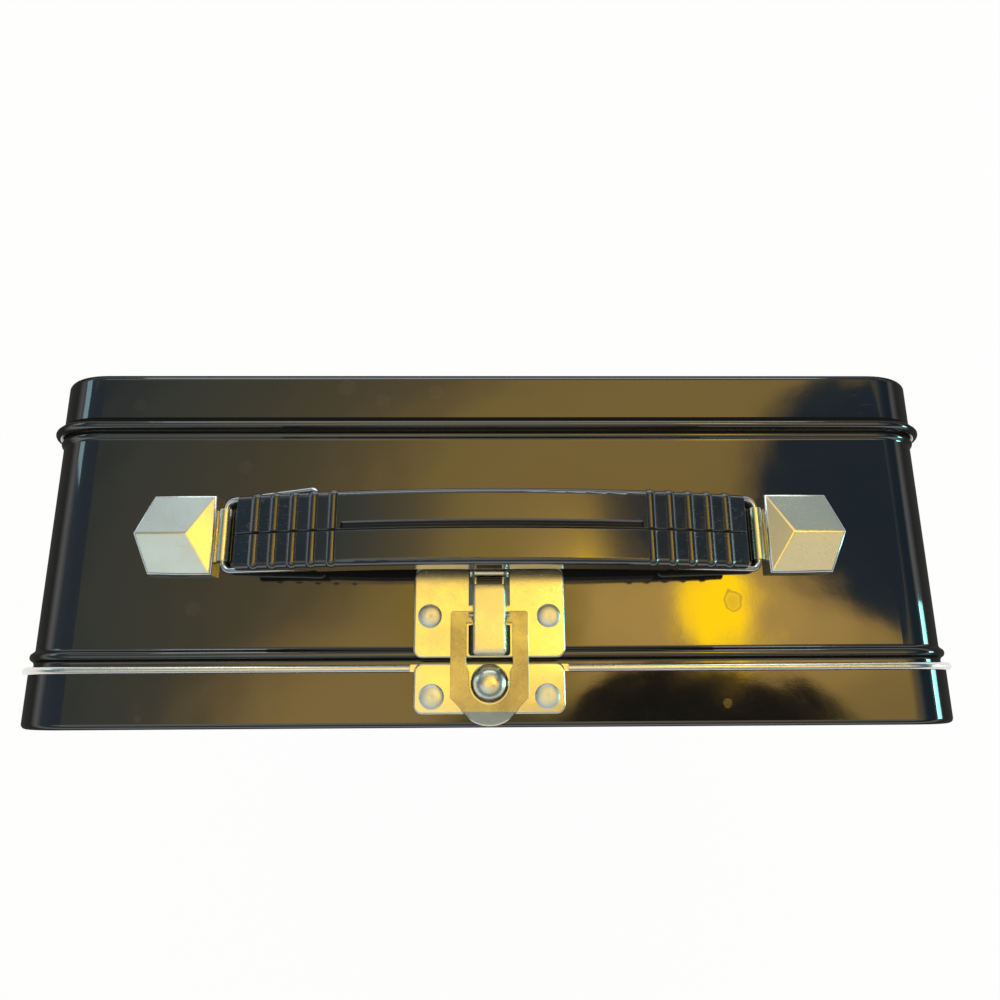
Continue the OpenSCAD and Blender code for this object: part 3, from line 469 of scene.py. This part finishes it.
def crisp(mesh):
    """Smooth shading, except over the sharp edges."""
    bm = bmesh.new()
    bm.from_mesh(mesh)
    for face in bm.faces:
        face.smooth = True
    for edge in bm.edges:
        edge.smooth = len(edge.link_faces) == 2 and edge.calc_face_angle(0.0) < math.radians(SHARP)
    bm.to_mesh(mesh)
    bm.free()


def merged_copy(node):
    """A CAD node's mesh as one to work on, its doubled points merged."""
    bm = bmesh.new()
    bm.from_mesh(nodes[node].data)
    bmesh.ops.remove_doubles(bm, verts=bm.verts, dist=2e-6)
    return bm


def mesh_from(bm, name, metal):
    """A finished mesh with one metal all over."""
    mesh = bpy.data.meshes.new(name)
    bm.to_mesh(mesh)
    bm.free()
    mesh.materials.append(finishes[metal])
    return mesh


def baked(ob, name):
    """The mesh that an object's modifiers make; the object itself goes."""
    mesh = bpy.data.meshes.new_from_object(ob.evaluated_get(bpy.context.evaluated_depsgraph_get()))
    bpy.data.objects.remove(ob)
    mesh.name = name
    return mesh


def stand_in(name, mesh, node):
    """A finished mesh becomes the piece that stands for a CAD node, on that node's body."""
    piece = link(bpy.data.objects.new(name, mesh))
    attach(piece, bodies_of[node])
    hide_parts(node)


# ---- rivets --------------------------------------------------------------

RIVET_SOCKETS = {
    "Places": "Geometry", "Head Radius": "Float", "Head Rise": "Float", "Head Fullness": "Float",
    "Punch Mark": "Float", "Shank Radius": "Float", "Grip Length": "Float", "Tail Radius": "Float",
    "Tail Depth": "Float", "Turn Over": "Rotation", "Finish": "Material"}


def rivet_tree():
    """Rivets on points: a domed head over the sheet, a shank and a clenched tail under it. One grid
    is rolled up round the axis; its rows run from the head's crown to the tail's middle."""
    tree = bpy.data.node_groups.new("clenched_rivets", "GeometryNodeTree")
    for name, kind in RIVET_SOCKETS.items():
        tree.interface.new_socket(name, in_out="INPUT", socket_type="NodeSocket" + kind)
    tree.interface.new_socket("Rivets", in_out="OUTPUT", socket_type="NodeSocketGeometry")
    f = Field(tree)
    given = f.node("NodeGroupInput").socket.node
    size = {name: Field(tree, given.outputs[name]) for name in RIVET_SOCKETS}
    grid = f.node("GeometryNodeMeshGrid", None, {
        "Size X": 1.0, "Size Y": 1.0, "Vertices X": 51, "Vertices Y": 49})
    grid_x, grid_y, _ = f.node("GeometryNodeInputPosition").parts()
    row, turn = grid_x + 0.5, (grid_y + 0.5) * (2 * math.pi)

    def run(low, high):
        """0 to 1 along a stretch of the rows."""
        return f.node("ShaderNodeMapRange", None, {"Value": row, "From Min": low, "From Max": high})

    rim = 0.62
    over_head, under_head, along_shank = run(0.0, rim), run(rim, 0.70), run(0.70, 0.80)
    spread, along_tail, tail_end = run(0.80, 0.86), run(0.86, 0.94), run(0.94, 1.0)
    quarter = over_head * (math.pi / 2)         # the head is a quarter turn of its section
    out = calc("SINE", quarter)
    r = (size["Head Radius"] * out - (size["Head Radius"] - size["Shank Radius"]) * under_head
         + (size["Tail Radius"] - size["Shank Radius"]) * spread - size["Tail Radius"] * tail_end)
    crown = calc("POWER", calc("COSINE", quarter).most(0.0), size["Head Fullness"])
    near = out * 5.0                            # the punch mark spreads over a fifth of the head
    dent = calc("EXPONENT", near * near * -1.0) * size["Punch Mark"] * (1 - run(rim - 0.02, rim))
    h = (size["Head Rise"] * crown - dent - size["Grip Length"] * along_shank
         - size["Tail Depth"] * along_tail)
    place = f.node("ShaderNodeCombineXYZ", None, {
        "X": r * calc("COSINE", turn), "Y": r * calc("SINE", turn), "Z": h})
    one = f.node("GeometryNodeSetPosition", None, {"Geometry": grid, "Position": place})
    one = f.node("GeometryNodeStoreNamedAttribute", {"data_type": "FLOAT", "domain": "POINT"},
                 {"Geometry": one, "Name": "from_axis", "Value": r / size["Head Radius"]})
    one = f.node("GeometryNodeMergeByDistance", None, {"Geometry": one, "Distance": 1e-6})
    points = f.node("GeometryNodeMeshToPoints", None, {"Mesh": size["Places"]})
    many = f.node("GeometryNodeInstanceOnPoints", None, {
        "Points": points, "Instance": one, "Rotation": size["Turn Over"]})
    solid = f.node("GeometryNodeRealizeInstances", None, {"Geometry": many})
    done = f.node("GeometryNodeSetMaterial", None, {"Geometry": solid, "Material": size["Finish"]})
    f.node("NodeGroupOutput", None, {0: done})
    return tree


def rivet(head, rise, shank, grip, tail, metal, turned=False, mark=0.0):
    """The inputs of one kind of rivet, in millimetres: the radius and rise of its head, the radius of
    its shank, the stack that it grips, the depth of its tail and of its punch mark."""
    return {"Head Radius": head * MM, "Head Rise": rise * MM, "Head Fullness": 0.72, "Punch Mark": mark * MM,
            "Shank Radius": shank * MM, "Grip Length": grip * MM, "Tail Radius": shank * 1.5 * MM,
            "Tail Depth": tail * MM, "Turn Over": (math.pi if turned else 0.0, 0.0, 0.0),
            "Finish": finishes[metal]}


def rivets(name, node, places, inputs):
    """One set of rivets, standing for a CAD node. The places are under the heads, in millimetres."""
    mesh = bpy.data.meshes.new(name)
    mesh.from_pydata([tuple(c * MM for c in p) for p in places], [], [])
    points = link(bpy.data.objects.new(name + "_places", mesh))
    mod = points.modifiers.new("rivets", "NODES")
    mod.node_group = RIVETS
    for item in RIVETS.interface.items_tree:
        if item.in_out == "INPUT" and item.name in inputs:
            mod[item.identifier] = inputs[item.name]
    made = baked(points, name)
    crisp(made)
    stand_in(name, made, node)


RIVETS = rivet_tree()
rivets("latch_plate_rivets", "latch_rivets",
       [(LATCH_X + k * 13.25, -17.35, LATCH_TOP + SEAT) for k in SIDES],
       rivet(2.65, 0.9, shank=1.2, grip=2.365, tail=0.6, metal="satin", mark=0.10))
rivets("keeper_plate_rivets", "keeper_rivets",
       [(LATCH_X + k * 12.65, -34.8, KEEPER_TOP + SEAT) for k in SIDES],
       rivet(2.75, 0.9, shank=1.2, grip=1.825, tail=0.6, metal="satin", mark=0.10))
rivets("handle_tab_rivets", "bracket_rivets",
       [(HANDLE_X + k * (BRACKET_X + x), 1.15, 171.17) for k in SIDES for x in (4.4, 11.4)],
       rivet(2.2, 0.8, shank=1.2, grip=1.34, tail=0.6, metal="satin"))
rivets("hinge_band_rivets", "hinge_body_rivets",
       [(k * HINGE_X + x, -18.9, 1.445) for k in SIDES for x in (-7.5, 7.5)],
       rivet(1.5, 0.55, shank=0.7, grip=1.115, tail=0.4, metal="steel", turned=True))
rivets("hinge_lid_rivets_set", "hinge_lid_rivets",
       [(k * HINGE_X + x, -35.2, 0.745) for k in SIDES for x in (-7.5, 7.5)],
       rivet(1.5, 0.50, shank=0.7, grip=0.975, tail=0.4, metal="steel", turned=True))


# ---- brackets and hasp ---------------------------------------------------

def softened(name, node, metal, above, rounds):
    """A copy of a CAD node whose outer edges over a level (in millimetres) are rounded.
    rounds: least and most turn in degrees, radius in millimetres, steps."""
    bm = merged_copy(node)
    bmesh.ops.dissolve_limit(bm, angle_limit=math.radians(1.5), verts=bm.verts, edges=bm.edges)
    for face in bm.faces:
        face.smooth = False
    for least, most, radius, steps in rounds:
        sharp = [e for e in bm.edges if len(e.link_faces) == 2 and e.is_convex
                 and not any(face.smooth for face in e.link_faces)
                 and math.radians(least) < e.calc_face_angle(0.0) < math.radians(most)
                 and min(v.co.z for v in e.verts) > above * MM]
        rounded = bmesh.ops.bevel(bm, geom=sharp, offset=radius * MM, offset_type="OFFSET", segments=steps,
                                  profile=0.5, affect="EDGES", clamp_overlap=True)
        for face in rounded["faces"]:
            face.smooth = True
    stand_in(name, mesh_from(bm, name, metal), node)


for side in ("left", "right"):
    softened("bracket_cap_" + side, "bracket_" + side, "bracket", above=171.6,
             rounds=((50, 120, 0.6, 5), (12, 50, 0.3, 4)))
softened("hasp_leaf", "hasp", "hasp", above=172.6, rounds=((40, 120, 0.14, 2),))


# ---- keeper --------------------------------------------------------------

def skin(bm, rows, closed=False):
    """Quads over rows of points in millimetres. Closed rows join their last point to their first."""
    grid = [[bm.verts.new(tuple(c * MM for c in p)) for p in row] for row in rows]
    faces = []
    for a, b in zip(grid, grid[1:]):
        for i in range(len(a) if closed else len(a) - 1):
            k = (i + 1) % len(a)
            faces.append(bm.faces.new((a[i], a[k], b[k], b[i])))
    return grid, faces


def keeper():
    """The keeper with its knob: flatter on the crown and fuller at the sides than a ball."""
    radius, rise, root, fullness = 4.1, 2.995, 0.3, 2.4         # the lengths in millimetres
    rings, sides = 26, 64
    foot = KEEPER_TOP + SEAT
    bm = merged_copy("keeper_plate")
    # the plain knob is sunk inside the turned one
    for v in bm.verts:
        r = math.hypot(v.co.x / MM - KNOB_X, v.co.y / MM - KNOB_Y)
        if v.co.z > (foot + 0.05) * MM and r < radius + 0.05:
            v.co.z = (foot + (v.co.z / MM - foot) * 0.8) * MM
    profile = [(radius, -root)]
    for k in range(rings):
        out = math.sin(math.pi / 2 * (1 - k / rings))
        profile.append((radius * out, rise * (1 - out ** fullness) ** 0.5))
    turns = [2 * math.pi * k / sides for k in range(sides)]
    grid, _ = skin(bm, [[(KNOB_X + r * math.cos(a), KNOB_Y + r * math.sin(a), foot + h)
                         for a in turns] for r, h in profile], closed=True)
    crown = bm.verts.new((KNOB_X * MM, KNOB_Y * MM, (foot + rise) * MM))
    for k in range(sides):
        bm.faces.new((grid[-1][k], grid[-1][(k + 1) % sides], crown))
    bm.faces.new(list(reversed(grid[0])))
    mesh = mesh_from(bm, "keeper_with_knob", "nickel")
    crisp(mesh)
    stand_in("keeper_with_knob", mesh, "keeper_plate")


keeper()


# ---- latch bridge (lengths in millimetres) -------------------------------

BRIDGE_WALL = 0.55              # thickness of the strap
BRIDGE_HALF = 3.5               # half the width of its flat top, with the bends
BEND_REACH = 0.9                # how far the bends reach in over the top
FOOT_FLARE = 1.15               # how far its feet stand out
SLOT_FLARE = 0.25               # the same where the hasp's journal passes
SLOT_Y, SLOT_HALF = -17.3, 2.12     # middle and half length of that stretch
# half of its section: share of the flare (below 0, of BEND_REACH), share of the height
STRAP_SECTION = [(1.0, 0.0), (0.76, 0.22), (0.50, 0.46), (0.24, 0.70), (0.08, 0.85), (0.0, 0.92),
                 (-0.14, 0.98), (-0.34, 1.0), (-0.60, 1.0)]
# from its closed front end to its open back end: y, height, how much wider (or less) than elsewhere
STRAP_COURSE = [(-26.1, 0.0, -0.5), (-26.1, 2.1, -0.45), (-26.02, 2.5, -0.3), (-25.8, 2.82, -0.15),
                (-25.4, 2.97, 0.0), (-24.5, 3.0, 0.0), (-22.5, 3.0, 0.0), (-20.4, 3.0, 0.0),
                (-19.45, 3.0, 0.0), (-19.4, 3.0, 0.0), (-17.3, 3.0, 0.0), (-15.2, 3.0, 0.0),
                (-15.15, 3.0, 0.0), (-14.2, 3.0, 0.0), (-12.5, 3.0, 0.0), (-11.0, 2.98, 0.0),
                (-10.6, 2.9, -0.05)]
# the hook behind it: a lip curled over (y, height) and, beside it, rails that fall towards the lip
LIP_HALF = 4.3                  # half the width of the lip
LIP_SECTION = [(-8.8, 0.0), (-8.75, 0.6), (-8.45, 1.05), (-7.9, 1.28), (-7.3, 1.28), (-6.75, 1.05),
               (-6.4, 0.6), (-6.3, 0.0)]
RAIL_COURSE = [(-10.75, 2.3), (-9.0, 1.75), (-7.4, 1.4), (-6.35, 1.0)]


def strap():
    """The raised strap over the hasp's cross bar, of one thickness, with flanks that flare out."""
    rows = []
    for y, height, wider in STRAP_COURSE:
        flare = SLOT_FLARE if abs(y - SLOT_Y) < SLOT_HALF else FOOT_FLARE
        half = [(BRIDGE_HALF + wider + share * (flare if share > 0 else BEND_REACH), LATCH_TOP + height * up)
                for share, up in STRAP_SECTION]
        rows.append([(LATCH_X - x, y, z) for x, z in half] + [(LATCH_X, y, LATCH_TOP + height)]
                    + [(LATCH_X + x, y, z) for x, z in reversed(half)])
    bm = bmesh.new()
    skin(bm, rows)
    bmesh.ops.recalc_face_normals(bm, faces=bm.faces)
    ob = link(bpy.data.objects.new("strap", mesh_from(bm, "strap", "nickel")))
    wall = ob.modifiers.new("wall", "SOLIDIFY")
    wall.thickness, wall.offset = BRIDGE_WALL * MM, -1.0
    wall.use_even_offset = True
    return baked(ob, "latch_bridge")


def closed_solid(bm, rows):
    """A solid from closed rows, with a face over each end."""
    grid, faces = skin(bm, rows, closed=True)
    faces += [bm.faces.new(grid[0]), bm.faces.new(grid[-1])]
    bmesh.ops.recalc_face_normals(bm, faces=faces)


def latch_bridge():
    """The strap with the hook behind it, as one piece."""
    mesh = strap()
    bm = bmesh.new()
    bm.from_mesh(mesh)
    closed_solid(bm, [[(LATCH_X + k * LIP_HALF, y, LATCH_TOP + z) for y, z in LIP_SECTION] for k in SIDES])
    for k in SIDES:
        rows = []
        for y, h in RAIL_COURSE:
            section = ((4.65, 0.0), (4.05, h * 0.6), (3.75, h - 0.2), (3.5, h), (3.3, h - 0.1), (3.2, 0.0))
            rows.append([(LATCH_X + k * x, y, LATCH_TOP + z) for x, z in section])
        closed_solid(bm, rows)
    bm.to_mesh(mesh)
    bm.free()
    crisp(mesh)
    stand_in("latch_bridge", mesh, "latch_strap")


latch_bridge()
